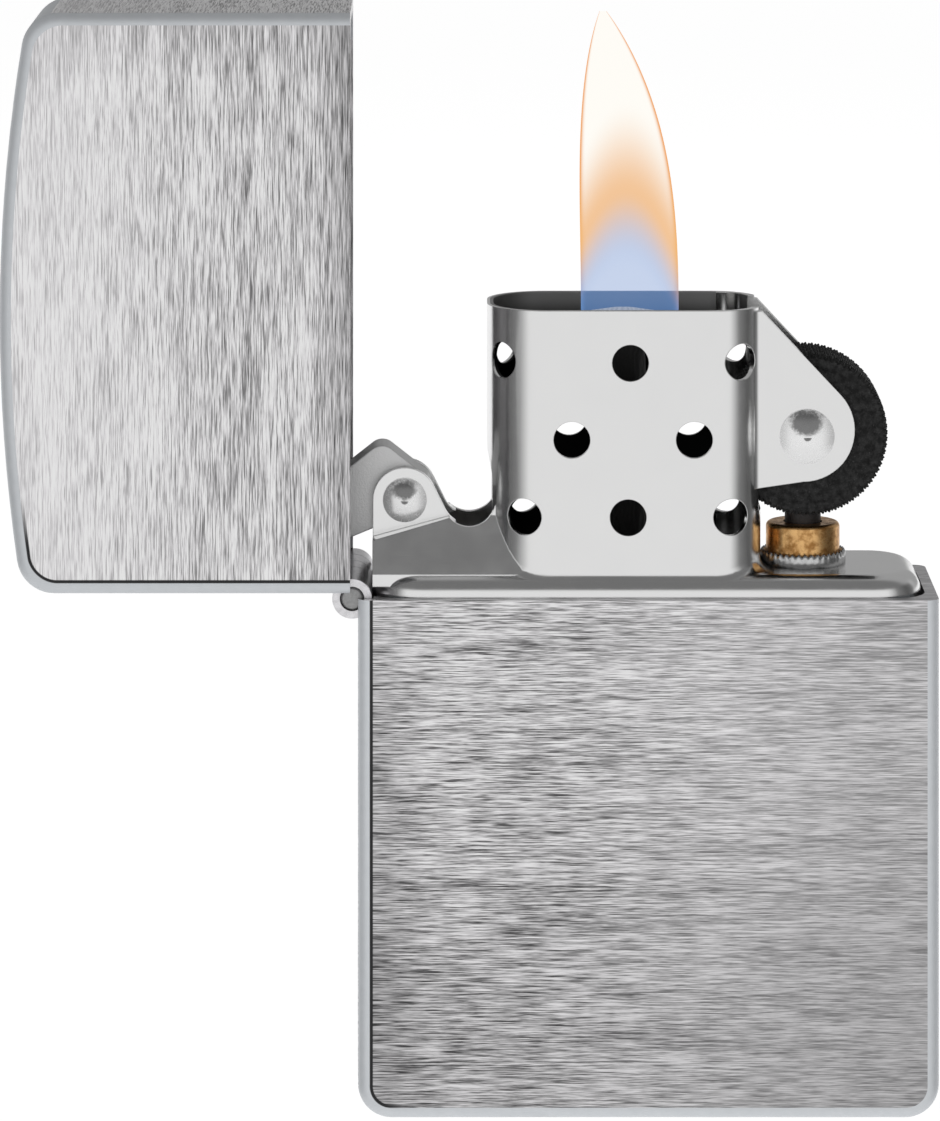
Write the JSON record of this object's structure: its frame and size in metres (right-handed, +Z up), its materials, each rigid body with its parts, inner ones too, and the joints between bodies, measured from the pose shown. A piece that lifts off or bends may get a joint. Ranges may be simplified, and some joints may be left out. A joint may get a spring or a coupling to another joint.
{
  "type": "flip-top petrol lighter",
  "caption": "Pocket petrol lighter with a hinged flip-top lid, a wind-screened wick, a flint wheel and a sprung lid cam, shown with the lid open.",
  "frame": {"origin": "centre of the case's flat underside", "axes": "+X towards the flint wheel's side, +Y towards the back face, +Z up, from the base to the chimney"},
  "size_m": [0.0616, 0.013, 0.0724],
  "materials": {
    "brushed_chrome": "brushed",
    "hinge_steel": "satin",
    "pin_steel": "rough cut",
    "polished_steel": "polished",
    "rivet_steel": "polished",
    "sintered_steel": "matt, grainy",
    "spring_steel": "satin",
    "black_steel": "matt, blackened",
    "brass": "satin",
    "flint_alloy": "matt",
    "wick_cotton": "braided",
    "cotton_wool": "fluffy",
    "felt": "felted"
  },
  "bodies": {
    "case_body": {"case_shell": "brushed_chrome", "lower_hinge_leaf": "hinge_steel", "hinge_pin": "pin_steel", "insert_shell": "polished_steel", "deck_plate": "polished_steel", "cam_rivet": "rivet_steel", "cam_spring": "spring_steel", "cam_spring_rivet": "rivet_steel", "wheel_axle": "rivet_steel", "flint_tube": "brass", "tube_collar": "rivet_steel", "flint_spring": "spring_steel", "wick": "wick_cotton", "cotton_packing": "cotton_wool", "felt_pad": "felt"},
    "lid_body": {"lid_shell": "brushed_chrome", "upper_hinge_leaf": "hinge_steel"},
    "cam_body": {"lid_cam": "sintered_steel"},
    "wheel_body": {"flint_wheel": "black_steel"},
    "flint_body": {"flint": "flint_alloy", "spring_tip": "brass"},
    "screw_body": {"flint_screw": "brass"}
  },
  "joints": [
    {"name": "lid_hinge", "type": "hinge", "parent": "case_body", "child": "lid_body", "pos_m": [-0.01943, 0, 0.03396], "axis": [0, -1, 0], "range_deg": [-90, 45]},
    {"name": "cam_pivot", "type": "hinge", "parent": "case_body", "child": "cam_body", "pos_m": [-0.016, 0, 0.03985], "axis": [0, -1, 0], "range_deg": [-108, 54]},
    {"name": "wheel_spin", "type": "hinge", "parent": "case_body", "child": "wheel_body", "pos_m": [0.01055, 0, 0.04425], "axis": [0, 1, 0], "continuous": true},
    {"name": "flint_feed", "type": "slide", "parent": "case_body", "child": "flint_body", "axis": [0, 0, 1], "range_m": [-0.0015, 0], "stiffness_N_per_m": 150, "springref_m": 0.004, "deforming": ["flint_spring"]},
    {"name": "flint_screw_turn", "type": "hinge", "parent": "case_body", "child": "screw_body", "pos_m": [0.01045, 0, 0.003], "axis": [0, 0, -1], "range_deg": [0, 300]}
  ],
  "couplings": [
    {"joint": "cam_pivot", "follows": "lid_hinge", "ratio": 1.2}
  ]
}
